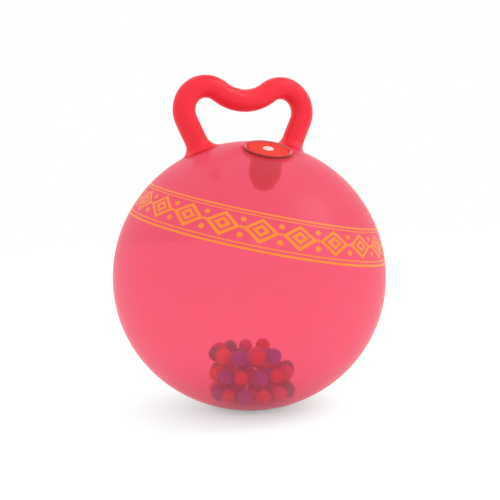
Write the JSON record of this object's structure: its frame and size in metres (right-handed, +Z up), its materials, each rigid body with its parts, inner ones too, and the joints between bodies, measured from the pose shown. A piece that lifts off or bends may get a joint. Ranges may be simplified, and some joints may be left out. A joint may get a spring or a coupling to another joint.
{
  "type": "hopper ball",
  "caption": "Inflated see-through hopper ball with a looped handle, a push-in light pod with a button, a valve plug and loose pompoms inside.",
  "frame": {"origin": "centre of the flat contact patch under the ball, on the floor", "axes": "+Z up along the ball's axis, X along the width of the handle's loop, the light pod leans towards -Y"},
  "size_m": [0.381, 0.381, 0.4635],
  "materials": {
    "skin_vinyl": "glossy see-through vinyl",
    "handle_vinyl": "glossy thick vinyl",
    "pocket_vinyl": "glossy see-through vinyl",
    "pod_plastic": "clear tinted plastic",
    "lid_plastic": "smooth",
    "seal_rubber": "matt",
    "steel": "plain",
    "white_plastic": "smooth",
    "black_plastic": "matt",
    "board_green": "solder mask",
    "resistor_body": "lacquered",
    "tray_plastic": "plain",
    "contact_brass": "plated",
    "cell_steel": "plated",
    "lamp_clear": "clear",
    "pompom_red": "fuzzy yarn",
    "pompom_orange": "fuzzy yarn",
    "pompom_pink": "fuzzy yarn",
    "pompom_violet": "fuzzy yarn",
    "pompom_teal": "fuzzy yarn"
  },
  "bodies": {
    "ball": {"ball_skin": "skin_vinyl", "handle": "handle_vinyl", "pocket": "pocket_vinyl", "valve_seat": "skin_vinyl"},
    "light_pod": {"pod_shell": "pod_plastic", "pod_lid": "lid_plastic", "lid_gasket": "seal_rubber", "pod_seal": "seal_rubber", "lid_screws": "steel", "switch_body": "black_plastic", "main_board": "board_green", "control_chip": "black_plastic", "motion_switch": "steel", "resistors": "resistor_body", "board_screws": "steel", "battery_tray": "tray_plastic", "positive_contact": "contact_brass", "negative_spring": "steel", "cell_1": "cell_steel", "cell_2": "cell_steel", "cell_3": "cell_steel", "led_1": "lamp_clear", "led_2": "lamp_clear", "led_3": "lamp_clear"},
    "button": {"push_button": "white_plastic", "switch_plunger": "black_plastic"},
    "plug": {"valve_plug": "white_plastic"},
    "low_pompoms": {"pompoms_low_red": "pompom_red", "pompoms_low_orange": "pompom_orange", "pompoms_low_pink": "pompom_pink", "pompoms_low_violet": "pompom_violet", "pompoms_low_teal": "pompom_teal"},
    "mid_pompoms": {"pompoms_mid_red": "pompom_red", "pompoms_mid_orange": "pompom_orange", "pompoms_mid_pink": "pompom_pink", "pompoms_mid_violet": "pompom_violet", "pompoms_mid_teal": "pompom_teal"},
    "top_pompoms": {"pompoms_top_red": "pompom_red", "pompoms_top_orange": "pompom_orange", "pompoms_top_pink": "pompom_pink", "pompoms_top_violet": "pompom_violet", "pompoms_top_teal": "pompom_teal"}
  },
  "joints": [
    {"name": "pod_pull", "type": "slide", "parent": "ball", "child": "light_pod", "axis": [0, -0.3827, 0.9239], "range_m": [0, 0.075]},
    {"name": "button_press", "type": "slide", "parent": "light_pod", "child": "button", "axis": [0, 0.3827, -0.9239], "range_m": [0, 0.0008], "stiffness_N_per_m": 600, "springref_m": -0.001},
    {"name": "plug_pull", "type": "slide", "parent": "ball", "child": "plug", "axis": [0, 0.6157, 0.788], "range_m": [0, 0.03]},
    {"name": "low_roll", "type": "hinge", "parent": "ball", "child": "low_pompoms", "pos_m": [0, 0, 0.183], "axis": [1, 0, 0], "range_deg": [-90, 90]},
    {"name": "mid_roll", "type": "hinge", "parent": "low_pompoms", "child": "mid_pompoms", "pos_m": [0, 0, 0.183], "axis": [0, 1, 0], "range_deg": [-40, 40]},
    {"name": "top_roll", "type": "hinge", "parent": "mid_pompoms", "child": "top_pompoms", "pos_m": [0, 0, 0.183], "axis": [1, 0, 0], "range_deg": [-40, 40]}
  ]
}
